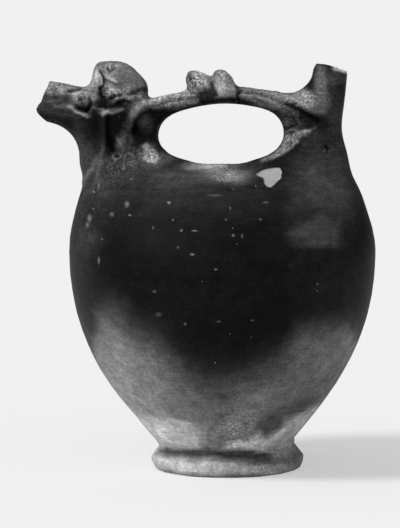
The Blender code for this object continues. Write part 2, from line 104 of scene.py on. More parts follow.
def places(item):
    """Each point's place and outward direction, in metres."""
    count = len(item.data.vertices)
    at, out = np.empty(count * 3), np.empty(count * 3)
    item.data.vertices.foreach_get("co", at)
    item.data.vertex_normals.foreach_get("vector", out)
    return at.reshape(-1, 3), out.reshape(-1, 3)


def ease(value, low, high):
    """A smooth rise from 0 at low to 1 at high."""
    t = np.clip((value - low) / (high - low), 0, 1)
    return t * t * (3 - 2 * t)


def weigh(item, name, weights):
    """Puts a weight on each point, rounded to a few steps, and tells the group's name."""
    group = item.vertex_groups.new(name=name)
    steps = np.round(weights * WEIGHT_STEPS).astype(int)
    for step in range(1, WEIGHT_STEPS + 1):
        chosen = np.flatnonzero(steps == step)
        if len(chosen):
            group.add(chosen.tolist(), step / WEIGHT_STEPS, "REPLACE")
    return group.name


def rub(item, name, weights, rounds):
    """Smooths the skin where the weights say."""
    soft = item.modifiers.new(name, "SMOOTH")
    soft.factor = 0.5
    soft.iterations = rounds
    soft.vertex_group = weigh(item, name, weights)
    settled(item)
    item.vertex_groups.clear()


vessel = bpy.data.objects.new("askos_vessel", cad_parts["askos"].data.copy())
bpy.context.scene.collection.objects.link(vessel)
vessel.data.materials.clear()
skin = bmesh.new()
skin.from_mesh(vessel.data)
bmesh.ops.remove_doubles(skin, verts=skin.verts, dist=1e-6)
skin.to_mesh(vessel.data)
skin.free()
grains = vessel.modifiers.new("grains", "REMESH")
grains.mode = "VOXEL"
grains.voxel_size = GRAIN
grains.use_smooth_shade = True
settled(vessel)

at, out = places(vessel)
belly = 1 - ease(at[:, 2], *BELLY_ENDS)
foot = 1 - ease(at[:, 2], *FOOT_TO_BELLY)
rub(vessel, "belly", belly * (1 - foot), BELLY_ROUNDS)
# The head and the broken spout are spared most of the rubbing and keep their edges
at, out = places(vessel)
necks = ease(at[:, 2], *NECKS_BEGIN)
head_end = 1 - ease(at[:, 0], *HEAD_TO_HANDLE)
small_parts = np.clip(necks * (1 - HEAD_SPARED * head_end) + FOOT_SHARE * foot, 0, 1)
rub(vessel, "necks", small_parts, NECK_ROUNDS)

# Foot set on askew
# The foot is of the same clay, joined on while both were damp. It was stuck on a little low towards the
# spout, which tilts its waist, and its rim was pinched out.
FOOT_AXIS_X = 12.6 * MM
WAIST_HEIGHT = 19 * MM
WAIST_REACH = 7 * MM
WAIST_DROP = 1.7 * MM
WAIST_TILT = 0.024
RIM_HEIGHT = 7.5 * MM
RIM_REACH = 3 * MM
RIM_RADII = (38 * MM, 43 * MM)
RIM_PINCH = 0.7 * MM

at, out = places(vessel)
waist = np.exp(-(((at[:, 2] - WAIST_HEIGHT) / WAIST_REACH) ** 2))
rim = np.exp(-(((at[:, 2] - RIM_HEIGHT) / RIM_REACH) ** 2))
rim *= ease(np.hypot(at[:, 0] - BODY_AXIS_X, at[:, 1]), *RIM_RADII)
radial = at * (1, 1, 0) - (FOOT_AXIS_X, 0, 0)
radial /= np.maximum(np.linalg.norm(radial, axis=1), MM)[:, None]
at += radial * (RIM_PINCH * rim)[:, None]
at[:, 2] -= waist * (WAIST_DROP - WAIST_TILT * (at[:, 0] - BODY_AXIS_X))
vessel.data.vertices.foreach_set("co", at.ravel())
vessel.data.update()

# Marks left by hand
# Ridges and furrows that fingers and a stick left in the wet clay, and breaks and pits of use. Each follows a
# line of places on the jug's middle plane, in millimetres, as the eye sees them there. The far side, which
# isn't seen, has the fellows of some.
def on_middle_plane(at):
    """Where each point shows on the middle plane, seen from the standpoint; the far side as in a mirror."""
    near = -np.abs(at[:, 1])
    share = -STATION.y / (near - STATION.y)
    x = STATION.x + (at[:, 0] - STATION.x) * share
    z = STATION.z + (at[:, 2] - STATION.z) * share
    return x / MM, z / MM


def off_line(x, z, line):
    """Distance of each place from a line of places, in millimetres."""
    best = np.full(len(x), 1e9)
    for (x0, z0), (x1, z1) in zip(line, line[1:]):
        along = np.array([x1 - x0, z1 - z0])
        t = np.clip(((x - x0) * along[0] + (z - z0) * along[1]) / (along @ along), 0, 1)
        best = np.minimum(best, np.hypot(x - x0 - t * along[0], z - z0 - t * along[1]))
    return best


def lumps(at, size, octaves, chosen):
    """Unevenness from about -1 to 1, in lumps of a size in metres; 0 at points that aren't chosen."""
    result = np.zeros(len(at))
    for i in chosen:
        result[i] = noise.fractal(Vector(at[i] / size), 1.0, 2.1, octaves)
    return result


def pits(at, size, chosen):
    """Small round pits, 1 at the middle of each and 0 between them, at the chosen points."""
    result = np.zeros(len(at))
    for i in chosen:
        spot = Vector(at[i] / size)
        result[i] = max(0.0, 1.0 - 2.6 * noise.voronoi(spot)[0][0])
    return result


MARKS = [
    # half-width and height in mm, below the skin when negative; whether the far side has its fellow; line
    # Neck under the head
    (1.7, 0.5, True, [(-60.5, 207.6), (-60.2, 198.1), (-60.5, 189.2)]),
    (1.7, 0.8, True, [(-60.5, 190.4), (-62.3, 182.1), (-64.6, 173.7)]),
    (2.2, -0.7, True, [(-64.6, 211.8), (-64.3, 201.1), (-65.2, 189.2), (-67.6, 179.7)]),
    (1.3, -1.1, False, [(-57.5, 206.4), (-57.2, 198.1), (-55.2, 189.2)]),
    (1.0, 0.8, False, [(-52.8, 196.9), (-51.0, 193.3), (-49.0, 189.8)]),
    (0.8, 1.0, False, [(-54.9, 185.0), (-53.4, 183.1), (-51.3, 183.7), (-50.4, 185.6)]),
    (0.9, -1.4, False, [(-53.4, 185.3), (-52.2, 185.3)]),
    (1.8, 0.9, True, [(-72.3, 169.0), (-69.9, 174.3), (-66.4, 179.1), (-65.2, 184.4)]),
    (1.6, -0.7, True, [(-69.9, 167.8), (-67.0, 173.7), (-64.0, 178.5)]),
    (1.2, 0.6, False, [(-65.8, 167.2), (-63.4, 170.2), (-61.7, 171.4)]),
    (0.8, -0.9, False, [(-66.1, 164.2), (-64.6, 169.0)]),
    # Broken spout
    (1.6, 0.7, True, [(-92.4, 226.6), (-86.5, 225.4), (-79.4, 224.2), (-73.5, 223.0)]),
    (1.1, -1.2, True, [(-80.6, 223.9), (-74.7, 224.2), (-71.1, 225.4)]),
    (1.0, 0.9, True, [(-78.2, 222.2), (-73.5, 222.8), (-70.5, 221.9)]),
    (1.6, -0.4, False, [(-93.6, 220.1), (-86.5, 220.4), (-78.8, 220.1)]),
    (0.9, 0.7, False, [(-94.8, 218.0), (-89.4, 217.7), (-85.3, 218.3)]),
    (1.0, 0.9, False, [(-88.9, 214.7), (-84.7, 214.1), (-81.8, 214.4), (-78.2, 213.2)]),
    (0.9, 0.8, False, [(-92.4, 223.0), (-91.2, 221.3)]),
    (0.9, -1.4, False, [(-91.5, 205.2), (-90.0, 205.8)]),
    # Ragged lower edge of the clay laid on for the face
    (1.2, 1.5, True, [(-81.2, 214.4), (-78.2, 214.4), (-76.4, 211.8), (-72.9, 210.3), (-69.9, 208.5)]),
    (1.6, -2.2, False, [(-76.2, 213.8), (-72.9, 212.4), (-69.4, 212.9)]),
    (1.0, 1.2, True, [(-68.8, 212.1), (-67.0, 214.1), (-63.4, 212.7), (-60.5, 212.9)]),
    (1.2, 1.5, True, [(-61.1, 209.4), (-58.7, 212.1), (-55.8, 210.9), (-52.8, 211.5), (-49.9, 213.5)]),
    # Eye ring and its pit
    (1.0, 0.8, True, [(-76.4, 218.9), (-75.9, 221.0), (-73.5, 221.9), (-70.8, 221.0), (-69.4, 218.3),
                      (-70.5, 215.6)]),
    (1.1, 0.4, True, [(-70.5, 215.6), (-73.2, 214.7), (-75.6, 215.9), (-76.4, 218.9)]),
    (0.8, -1.0, True, [(-74.4, 219.4), (-73.8, 219.0)]),
    # Cheek and ear
    (1.5, -1.2, True, [(-68.8, 218.9), (-68.2, 215.3), (-69.4, 212.9)]),
    (1.2, 0.8, True, [(-68.8, 220.7), (-66.4, 218.9), (-62.9, 219.5)]),
    (1.2, 1.7, True, [(-63.1, 227.2), (-64.3, 231.4), (-63.7, 234.9), (-62.3, 232.0), (-62.0, 228.4)]),
    (0.8, -1.6, True, [(-62.0, 234.9), (-60.5, 232.0), (-60.2, 228.4), (-61.4, 226.0)]),
    (1.2, -2.0, True, [(-62.0, 226.0), (-61.7, 222.5), (-60.5, 220.1)]),
    # Locks of the crest
    (1.0, 0.9, True, [(-59.3, 231.7), (-56.4, 230.5), (-53.1, 229.4)]),
    (0.8, -0.8, False, [(-58.7, 229.9), (-55.8, 228.9), (-52.8, 227.7)]),
    (1.2, 0.8, False, [(-59.9, 227.8), (-55.8, 225.7), (-52.2, 223.6)]),
    (1.1, 1.0, True, [(-60.5, 221.0), (-58.7, 220.1), (-56.4, 221.0), (-56.6, 223.6)]),
    (0.8, -0.9, False, [(-57.8, 236.7), (-55.8, 235.8)]),
    (0.8, -0.9, False, [(-56.9, 234.9), (-54.6, 236.7)]),
    # Rough under-edge of the crest
    (1.2, 1.0, False, [(-55.2, 217.1), (-52.2, 219.2), (-48.7, 220.4), (-46.3, 219.2), (-43.3, 220.1)]),
    (1.0, -1.3, False, [(-55.8, 219.8), (-52.8, 221.3), (-50.4, 221.9)]),
    (1.0, -1.2, False, [(-51.6, 217.1), (-48.7, 218.0), (-45.1, 217.1)]),
    (1.3, -1.1, True, [(-42.8, 223.0), (-39.2, 224.8), (-35.7, 224.8)]),
    (1.2, 0.9, True, [(-41.6, 220.7), (-38.6, 220.1), (-36.3, 216.5)]),
    # Handle, left root
    (2.4, 0.8, False, [(-32.1, 219.5), (-36.3, 216.5), (-40.4, 212.9), (-43.3, 208.8), (-44.5, 204.0),
                       (-44.2, 194.5)]),
    (2.0, -1.5, False, [(-32.7, 212.9), (-37.4, 210.0), (-41.0, 205.8), (-42.2, 199.9)]),
    # Handle's grooves, drawn along it with a finger
    (1.1, 0.65, True, [(19.9, 226.0), (29.3, 224.5), (38.8, 221.9), (48.3, 217.7), (55.3, 214.7)]),
    (0.9, -0.7, True, [(19.3, 223.6), (28.8, 222.8), (37.6, 220.1), (45.9, 215.9)]),
    (1.0, 0.6, True, [(19.3, 221.6), (28.2, 221.0), (36.4, 218.3), (42.9, 214.1)]),
    (0.9, -0.6, True, [(19.9, 219.5), (28.2, 218.9), (35.3, 216.5)]),
    (1.2, -0.9, False, [(-32.1, 214.7), (-23.8, 217.7), (-14.4, 219.8), (-3.8, 220.1)]),
    (1.0, 0.8, False, [(-27.4, 219.5), (-19.1, 222.5), (-10.8, 224.2)]),
    (0.9, -0.8, False, [(-21.5, 217.7), (-13.2, 218.9), (-5.5, 218.0)]),
    # Handle, right root
    (1.6, 0.8, True, [(41.2, 221.9), (49.4, 219.5), (57.1, 215.9), (64.2, 211.8), (70.1, 210.6)]),
    (1.8, -1.4, True, [(47.1, 215.9), (53.6, 212.9), (60.1, 208.8), (66.0, 205.8)]),
    (1.0, 0.8, False, [(45.9, 214.1), (50.0, 212.9), (53.6, 209.4)]),
    (1.0, -1.0, False, [(47.1, 208.8), (51.2, 207.6), (53.0, 204.0), (47.1, 201.7)]),
    (1.1, 0.9, False, [(46.5, 199.3), (50.6, 201.1), (55.3, 199.3), (60.7, 200.5), (64.2, 201.7)]),
    (0.9, 0.7, False, [(38.8, 183.5), (44.1, 186.2), (48.8, 189.2), (53.6, 193.3)]),
    (1.0, -0.8, False, [(59.5, 202.3), (63.6, 200.5), (62.4, 198.7)]),
    (0.9, -1.3, False, [(70.4, 191.6), (71.6, 189.8)]),
    (0.7, 0.6, False, [(69.5, 188.0), (70.7, 189.2)]),
    # Worn figure
    (1.3, -1.3, False, [(3.3, 228.4), (4.2, 224.8), (5.7, 221.3)]),
    (1.1, -0.9, False, [(-10.3, 235.5), (-9.1, 230.8), (-6.7, 226.0), (-3.2, 221.9)]),
    (0.9, 0.7, False, [(-6.7, 235.5), (-2.6, 233.7), (1.0, 232.6)]),
    (1.2, -0.9, False, [(-9.7, 224.8), (-6.1, 221.9), (-2.0, 216.5)]),
    (1.2, -1.5, True, [(18.7, 227.2), (20.2, 224.8), (18.7, 221.3), (19.0, 216.5)]),
    (1.0, -0.8, False, [(7.5, 233.7), (9.2, 231.4)]),
    # Saddle's rim and shoulder
    (1.0, 0.5, True, [(-24.4, 189.2), (-15.6, 184.7), (-3.8, 182.7), (8.1, 180.9), (22.8, 182.4),
                      (32.9, 185.6)]),
    (1.4, -0.6, False, [(-9.7, 181.5), (-0.2, 179.1), (10.4, 178.5), (19.9, 180.3)]),
    (1.3, -0.5, False, [(46.5, 122.7), (50.6, 126.8), (53.6, 127.4)]),
]

# Outline of the one clean chip, heart-shaped, on the shoulder
CHIP = [
    (29.3, 174.6), (32.9, 177.0), (35.8, 177.9), (40.0, 178.5), (43.5, 178.6), (44.6, 176.1), (43.7, 172.3),
    (40.6, 169.0), (37.9, 167.0), (35.4, 167.6), (34.1, 169.9), (33.8, 172.4), (31.7, 173.4),
]


def inside_outline(x, z, outline):
    """Signed distance to an outline in millimetres, above zero inside it."""
    ring = outline + outline[:1]
    odd = np.zeros(len(x), bool)
    for (x0, z0), (x1, z1) in zip(ring, ring[1:]):
        if z0 != z1:
            cross = x0 + (z - z0) / (z1 - z0) * (x1 - x0)
            odd ^= ((z0 > z) != (z1 > z)) & (x < cross)
    return np.where(odd, 1, -1) * off_line(x, z, ring)


def facing(at, out):
    """How far each point looks out on its own side: 1 to the front or back, 0 inside and past the outline."""
    return ease(out[:, 1] * np.sign(at[:, 1]), 0.02, 0.3)


# The seen side's marks die out over twice this
HALF_SEAM = 1.5 * MM
# Heights in mm, as the eye sees them, above and below which the clay was worked by hand
HAND_WORKED_ABOVE = 150
HAND_WORKED_BELOW = 26
# How far a mark wanders, in mm, and by what share it swells, with the size of the lumps that each follows
WANDER = 0.5
WANDER_SIZE = 4.5 * MM
SWELL = 0.35
SWELL_SIZE = 3.5 * MM
# A mark as high or as deep as this, in mm, is wholly paler or wholly darker
FULL_EFFECT_HEIGHT = 1.2
CHIP_DEPTH = 0.5
# Heights over which the painted contact shadow under the foot fades, and how dark it is
FOOT_SHADOW_HEIGHTS = (0.5 * MM, 2.2 * MM)
FOOT_SHADOW_DARKNESS = 0.9

at, out = places(vessel)
seen_x, seen_z = on_middle_plane(at)
x, z = seen_x, seen_z
# near is 1 on the seen side and 0 on the far side
shown = facing(at, out)
near = 1 - ease(at[:, 1], -HALF_SEAM, HALF_SEAM)
hand_worked = (z > HAND_WORKED_ABOVE) | (z < HAND_WORKED_BELOW)
worked = np.flatnonzero(hand_worked & (np.maximum(shown, out[:, 2]) > 0.02))
# The marks wander and swell a little, as those of a hand do
x = x + WANDER * lumps(at, WANDER_SIZE, 2, worked)
z = z + WANDER * lumps(at + 0.05, WANDER_SIZE, 2, worked)
waver = 1 + SWELL * lumps(at + 0.11, SWELL_SIZE, 2, worked)
rise, dark_furrows_and_foot_shadow, pale_ridges = np.zeros(len(at)), np.zeros(len(at)), np.zeros(len(at))
for half_width, height, both_sides, line in MARKS:
    xs, zs = np.array(line).T
    reach = 3 * half_width
    beside = (x > xs.min() - reach) & (x < xs.max() + reach)
    level_with = (z > zs.min() - reach) & (z < zs.max() + reach)
    chosen = np.flatnonzero(beside & level_with)
    profile = np.exp(-(off_line(x[chosen], z[chosen], line) / half_width) ** 2)
    profile *= (1 if both_sides else near[chosen]) * shown[chosen]
    rise[chosen] += height * profile * waver[chosen]
    kept = dark_furrows_and_foot_shadow if height < 0 else pale_ridges
    kept[chosen] = np.maximum(kept[chosen], profile * min(1, (height / FULL_EFFECT_HEIGHT) ** 2))
rise -= CHIP_DEPTH * ease(inside_outline(seen_x, seen_z, CHIP), -0.3, 0.8) * near * shown
# The foot stands in a line of grime
# Painted contact shadow: a dark line along the foot where it stands
dark_furrows_and_foot_shadow = np.maximum(dark_furrows_and_foot_shadow, FOOT_SHADOW_DARKNESS * (1 - ease(at[:, 2], *FOOT_SHADOW_HEIGHTS)))

# Hand-worked clay is uneven all over, most of all where lumps were pressed on and the edges broke
ROUGH_SPOTS = [
    # place, reach in mm, depth in mm
    ((-87.7, 224.8), 12, 0.35), ((-59.3, 216.5), 9, 0.5), ((-50.4, 219.5), 8, 0.9),
    ((-59.9, 223.6), 6, 0.5), ((-69.9, 211.8), 7, 0.6), ((-16.8, 220.7), 22, 0.5),
    ((-32.7, 187.4), 7, 0.8), ((-43.9, 184.4), 14, 0.5), ((-6.1, 230.8), 10, 0.6),
    ((53.0, 211.8), 12, 0.7), ((51.8, 194.5), 10, 0.7), ((-55.8, 178.5), 14, 0.5),
    ((-36.8, 216.5), 8, 0.35), ((-45.1, 202.3), 8, 0.6), ((32.9, 223.0), 20, 0.4),
    ((-56.9, 236.7), 4, 0.8), ((61.3, 220.1), 7, 0.5), ((-73.5, 219.5), 7, 0.5), ((17.5, 22.9), 16, 0.5),
    ((-62.9, 150.6), 26, 0.3), ((10.4, 174.3), 13, 0.8), ((36.4, 183.2), 12, 0.5),
    ((11.6, 233.1), 7, 0.5), ((32.9, 2.7), 14, 0.3),
]
BODY_GRIT = 0.10
NECKS_GRIT = 0.15
LUMP_SIZE = 4.2 * MM
LUMP_SHARE = 0.8
PIT_SIZE = 3.4 * MM
PIT_SHARE = 0.7

grit = BODY_GRIT + NECKS_GRIT * ease(z, 172, 190)
for (x0, z0), reach, depth in ROUGH_SPOTS:
    off_squared = (x - x0) ** 2 + (z - z0) ** 2
    grit = grit + depth * np.exp(-off_squared / (reach * 0.6) ** 2) * (0.4 + 0.6 * near)
outer = np.maximum(shown, ease(out[:, 2], 0.2, 0.6) * ease(z, 165, 180))
rough_points = np.flatnonzero((grit * outer > 0.12) & (z > HAND_WORKED_ABOVE))
rise += outer * grit * LUMP_SHARE * lumps(at + 0.21, LUMP_SIZE, 4, rough_points)
rise -= outer * grit * PIT_SHARE * pits(at + 0.31, PIT_SIZE, rough_points)
at += out * (rise * MM)[:, None]

# The filling neck's lip is drawn out a little towards the handle
LIP_PULL = 2.2 * MM
LIP_HEIGHTS = (231 * MM, 239 * MM)
LIP_LEFT_SIDE = (66 * MM, 73 * MM)
lip = ease(at[:, 2], *LIP_HEIGHTS) * (1 - ease(at[:, 0], *LIP_LEFT_SIDE)) * (at[:, 0] > 0)
at[:, 0] -= LIP_PULL * lip

# The spout's broken end slopes back towards its top; its heights and places are in mm as the eye sees them
BREAK_SLOPE = 1.3 * MM
BREAK_HEIGHTS = (216, 228)
BREAK_REACH = (-92.4, -82.9)
sloped = ease(z, *BREAK_HEIGHTS) * (1 - ease(x, *BREAK_REACH))
at[:, 0] += BREAK_SLOPE * sloped

# The crest overhangs a notch at the root of the handle, both placed in the same way
UNDERCUT_DEPTH = 2.0 * MM
UNDERCUT_X = -34.5
UNDERCUT_Z = 221.0
NOTCH_DEPTH = 1.7 * MM
NOTCH_X = -32.7
undercut = np.exp(-(((z - UNDERCUT_Z) / 2.2) ** 2) - ((x - UNDERCUT_X) / 3.0) ** 2)
undercut *= ease(out[:, 0], 0.1, 0.5)
at[:, 0] -= UNDERCUT_DEPTH * undercut
notch = np.exp(-(((x - NOTCH_X) / 3.2) ** 2)) * ease(z, 216.5, 220.5)
notch *= (1 - ease(z, 222.5, 224.5)) * ease(out[:, 2], 0.1, 0.5)
at[:, 2] -= NOTCH_DEPTH * notch
vessel.data.vertices.foreach_set("co", at.ravel())
vessel.data.update()
# Kept on the points: grit, the darkening of furrows with the painted contact shadow under the foot, and paler
# ridges
for name, values in (("grit", np.clip(grit, 0, 1)), ("dark_furrows_and_foot_shadow", dark_furrows_and_foot_shadow), ("pale_ridges", pale_ridges)):
    layer = vessel.data.attributes.new(name, "FLOAT", "POINT")
    layer.data.foreach_set("value", values.astype(np.float32))

# Turning marks
# The body turned on the wheel while a cloth and then a pebble passed over it, which leaves faint level
# rings a few millimetres wide. A tree of nodes lays them on the skin below the saddle and on the foot.
RING_DEPTH = 0.35 * MM
RING_PITCH = 3.2 * MM
RINGS_TOP = 176 * MM
RINGS_FADE = 20 * MM
# Hardly any change round the pot, and all of it up and down
DRAWN_ROUND = (0.012, 0.012, 1.0)


def add_node(tree, kind, settings=None, links=None):
    """Adds a node with its settings and input values; a node or an output given as a value is linked."""
    node = tree.nodes.new(kind)
    for name, value in (settings or {}).items():
        setattr(node, name, value)
    for name, value in (links or {}).items():
        socket = node.inputs[name]
        if isinstance(value, bpy.types.Node):
            value = value.outputs[0]
        if isinstance(value, bpy.types.NodeSocket):
            tree.links.new(value, socket)
        else:
            socket.default_value = value
    return node


turning = bpy.data.node_groups.new("turning_marks", "GeometryNodeTree")
turning.is_modifier = True
sockets = turning.interface
sockets.new_socket("Geometry", in_out="INPUT", socket_type="NodeSocketGeometry")
depth_input = sockets.new_socket("Ring depth", in_out="INPUT", socket_type="NodeSocketFloat")
pitch_input = sockets.new_socket("Ring pitch", in_out="INPUT", socket_type="NodeSocketFloat")
top_input = sockets.new_socket("Top", in_out="INPUT", socket_type="NodeSocketFloat")
finish_input = sockets.new_socket("Finish", in_out="INPUT", socket_type="NodeSocketMaterial")
sockets.new_socket("Geometry", in_out="OUTPUT", socket_type="NodeSocketGeometry")
given = add_node(turning, "NodeGroupInput")
place = add_node(turning, "GeometryNodeInputPosition")
normal = add_node(turning, "GeometryNodeInputNormal")
split = add_node(turning, "ShaderNodeSeparateXYZ", None, {0: place})
per_ring_links = {0: 1.0, 1: given.outputs["Ring pitch"]}
per_ring = add_node(turning, "ShaderNodeMath", {"operation": "DIVIDE"}, per_ring_links)
level = add_node(turning, "ShaderNodeVectorMath", {"operation": "MULTIPLY"}, {0: place, 1: DRAWN_ROUND})
ring_place = add_node(turning, "ShaderNodeVectorMath", {"operation": "SCALE"}, {0: level, "Scale": per_ring})
ring_links = {"Vector": ring_place, "Scale": 1.0, "Detail": 2.0, "Roughness": 0.55}
rings = add_node(turning, "ShaderNodeTexNoise", None, ring_links)
ring_height = add_node(turning, "ShaderNodeMath", {"operation": "SUBTRACT"}, {0: rings, 1: 0.5})
lower_links = {0: given.outputs["Top"], 1: RINGS_FADE}
lower = add_node(turning, "ShaderNodeMath", {"operation": "SUBTRACT"}, lower_links)
fade_links = {"Value": split.outputs["Z"], "From Min": lower, "From Max": given.outputs["Top"]}
fade_links.update({"To Min": 1.0, "To Max": 0.0})
below = add_node(turning, "ShaderNodeMapRange", {"interpolation_type": "SMOOTHSTEP"}, fade_links)
scaled_links = {0: ring_height, 1: given.outputs["Ring depth"]}
scaled = add_node(turning, "ShaderNodeMath", {"operation": "MULTIPLY"}, scaled_links)
masked = add_node(turning, "ShaderNodeMath", {"operation": "MULTIPLY"}, {0: scaled, 1: below})
push = add_node(turning, "ShaderNodeVectorMath", {"operation": "SCALE"}, {0: normal, "Scale": masked})
moved = add_node(turning, "GeometryNodeSetPosition", None, {"Geometry": given.outputs[0], "Offset": push})
real = add_node(turning, "GeometryNodeRealizeInstances", None, {0: moved})
finish_links = {"Geometry": real, "Material": given.outputs["Finish"]}
finished = add_node(turning, "GeometryNodeSetMaterial", None, finish_links)
add_node(turning, "NodeGroupOutput", None, {0: finished})

clay = bpy.data.materials.new("burnished_clay")
rings_modifier = vessel.modifiers.new("turning marks", "NODES")
rings_modifier.node_group = turning
rings_modifier[depth_input.identifier] = RING_DEPTH
rings_modifier[pitch_input.identifier] = RING_PITCH
rings_modifier[top_input.identifier] = RINGS_TOP
rings_modifier[finish_input.identifier] = clay
settled(vessel)

# Skin kept fine where the clay was worked by hand and coarser on the plain body and inside
KEPT_TRIANGLES = 186000
FINER_TOWARDS_SADDLE = (SADDLE - 22 * MM, SADDLE)
at, out = places(vessel)
plain = np.clip(1 - 0.75 * ease(at[:, 2], *FINER_TOWARDS_SADDLE), 0, 1)
thin = vessel.modifiers.new("thin", "DECIMATE")
thin.ratio = KEPT_TRIANGLES / (2 * len(vessel.data.polygons))
thin.vertex_group = weigh(vessel, "plain", plain)
thin.vertex_group_factor = 0.02
thin.use_collapse_triangulate = True
settled(vessel)
vessel.vertex_groups.clear()

# Firing and wear, with painted light and shade
# The slip was burnished and smoked nearly black; the flame kept it paler low down, with soft cloud edges,
# and the buff clay shows where it has worn or flaked. Tone is the share of light that the bare surface gives
# back, as the eye reads it, kept on the mesh's points; the finer mottling comes from the material. Some of
# the patches and stains below paint sheen, light and shade into the tone.
CLOUD_EDGE = [
    # place across, height where the slip starts to pale on the way down, height where it is wholly grey
    (-79.4, 117.9, 34.7), (-69.9, 106.0, 34.7), (-60.5, 115.5, 67.4), (-51.0, 109.0, 68.0),
    (-41.6, 101.3, 58.5), (-32.1, 97.7, 49.0), (-22.7, 88.2, 40.7), (-13.2, 77.5, 33.6),
    (-3.8, 74.0, 26.4), (5.7, 73.4, 24.1), (15.2, 74.5, 28.8), (24.6, 73.4, 35.9), (34.1, 78.7, 41.9),
    (43.5, 82.3, 49.0), (53.0, 91.8, 57.3), (62.4, 96.5, 62.1), (71.9, 96.5, 60.9), (81.4, 93.0, 63.3),
    (93.2, 100.1, 64.4),
]
PATCHES = [
    # tone, width of the soft edge in mm, outline
    # Worn clay below the handle's left root
    (0.60, 1.8, [(-37.4, 192.5), (-34.5, 193.6), (-29.8, 190.4), (-26.8, 184.4), (-29.2, 181.5),
                 (-33.6, 182.4), (-36.6, 185.0), (-35.7, 188.6)]),
    # Foot's waist on the left, and the body just above it
    (0.78, 5.0, [(-41.6, 31.2), (-24.4, 30.0), (-13.2, 26.4), (-5.5, 22.9), (-0.2, 16.9), (-1.4, 12.2),
                 (-33.3, 12.8)]),
    # Foot's waist right of the middle
    (0.75, 1.6, [(11.6, 15.1), (19.9, 16.9), (32.9, 16.9), (41.8, 17.5), (41.2, 11.0), (32.9, 9.8),
                 (13.4, 10.4)]),
    # Dark patch on the body above the foot
    (0.27, 2.5, [(2.7, 43.7), (9.2, 46.0), (15.2, 47.2), (16.3, 40.7), (11.6, 38.3), (5.7, 40.7)]),
    # Smaller dark patch under it
    (0.31, 1.4, [(4.5, 31.8), (10.4, 33.6), (15.2, 35.3), (14.6, 30.6), (8.1, 30.0)]),
    # Dark streak that rises to the right from the foot's waist
    (0.30, 1.5, [(28.2, 21.7), (30.5, 26.4), (34.1, 31.8), (41.2, 36.5), (53.0, 40.7), (64.8, 45.4),
                 (69.5, 43.1), (63.0, 35.9), (57.1, 32.7), (52.4, 30.0), (47.7, 26.1), (42.3, 19.3),
                 (32.9, 19.3)]),
    # Pale clay under the streak
    (0.66, 1.2, [(42.3, 18.7), (47.7, 26.1), (52.4, 30.0), (57.1, 32.7), (63.0, 35.9), (68.3, 39.5),
                 (62.4, 22.9), (50.6, 16.3), (44.7, 12.8)]),
    # Foot's waist at the right end: painted light that lifts the waist's own shadow there
    (0.60, 2.0, [(35.3, 12.2), (43.5, 16.3), (50.6, 18.1), (55.3, 12.2), (49.4, 8.0), (36.4, 7.4)]),
    # Dark part of the foot's rim
    (0.34, 1.5, [(17.5, 6.8), (32.9, 7.4), (44.1, 6.8), (44.1, 3.3), (32.9, 1.5), (22.3, 3.3)]),
    # Painted sheen on the right shoulder: a reflection painted in as a paler patch
    (0.28, 3.5, [(49.4, 144.6), (66.0, 148.8), (77.8, 147.6), (81.9, 133.4), (73.1, 131.6), (51.8, 132.2)]),
    # Dark line round the foot's rim
    (0.26, 1.2, [(-29.2, 11.6), (-15.6, 10.7), (12.8, 9.6), (30.5, 9.6), (35.3, 8.6), (33.5, 5.6),
                 (17.5, 5.9), (-15.6, 6.8), (-32.7, 7.7)]),
    # Worn clay below the handle's right root
    (0.43, 3.0, [(45.3, 198.7), (53.0, 199.9), (61.3, 201.7), (62.4, 199.3), (56.5, 196.9), (54.2, 192.8),
                 (47.7, 188.0), (39.4, 183.8), (32.9, 182.1), (31.7, 183.2), (37.6, 186.8), (43.5, 191.6)]),
]
